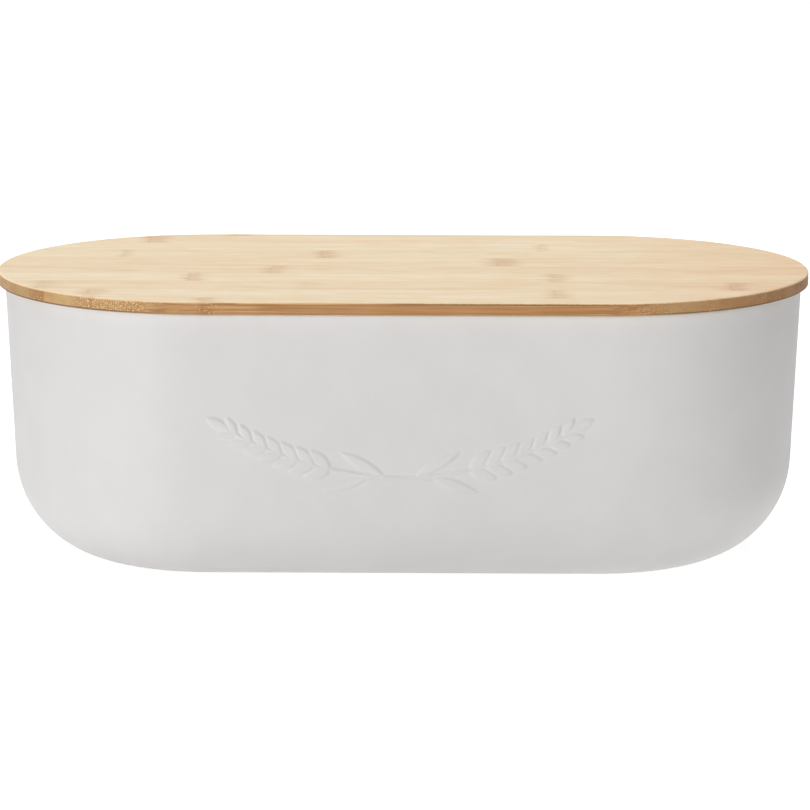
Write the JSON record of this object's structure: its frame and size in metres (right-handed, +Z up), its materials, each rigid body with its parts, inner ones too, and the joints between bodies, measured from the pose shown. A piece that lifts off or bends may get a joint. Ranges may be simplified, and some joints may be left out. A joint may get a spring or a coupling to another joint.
{
  "type": "bread box",
  "caption": "Long tub with half-round ends, rounded base and drafted walls, for keeping bread; a flat bamboo lid lifts off and seals inside the rim.",
  "frame": {"origin": "on the standing plane, under the middle of the tub", "axes": "+X along the length, +Y across the depth to the back, +Z up"},
  "size_m": [0.345, 0.18, 0.1234],
  "materials": {
    "tub_plastic": "satin off-white melamine",
    "bamboo_face": "oiled pale bamboo, wide faces of the strips up",
    "bamboo_under": "oiled pale bamboo",
    "seal_silicone": "milky matt silicone"
  },
  "bodies": {
    "tub": {"tub_shell": "tub_plastic"},
    "lid": {"upper_stave_1": "bamboo_face", "upper_stave_2": "bamboo_face", "upper_stave_3": "bamboo_face", "upper_stave_4": "bamboo_face", "upper_stave_5": "bamboo_face", "upper_stave_6": "bamboo_face", "upper_stave_7": "bamboo_face", "upper_stave_8": "bamboo_face", "upper_stave_9": "bamboo_face", "upper_stave_10": "bamboo_face", "lower_stave_1": "bamboo_under", "lower_stave_2": "bamboo_under", "lower_stave_3": "bamboo_under", "lower_stave_4": "bamboo_under", "lower_stave_5": "bamboo_under", "lower_stave_6": "bamboo_under", "lower_stave_7": "bamboo_under", "lower_stave_8": "bamboo_under", "lower_stave_9": "bamboo_under", "lid_seal": "seal_silicone"}
  },
  "joints": [
    {"name": "lid_lift", "type": "slide", "parent": "tub", "child": "lid", "axis": [0, 0, 1], "range_m": [0, 0.12]}
  ]
}
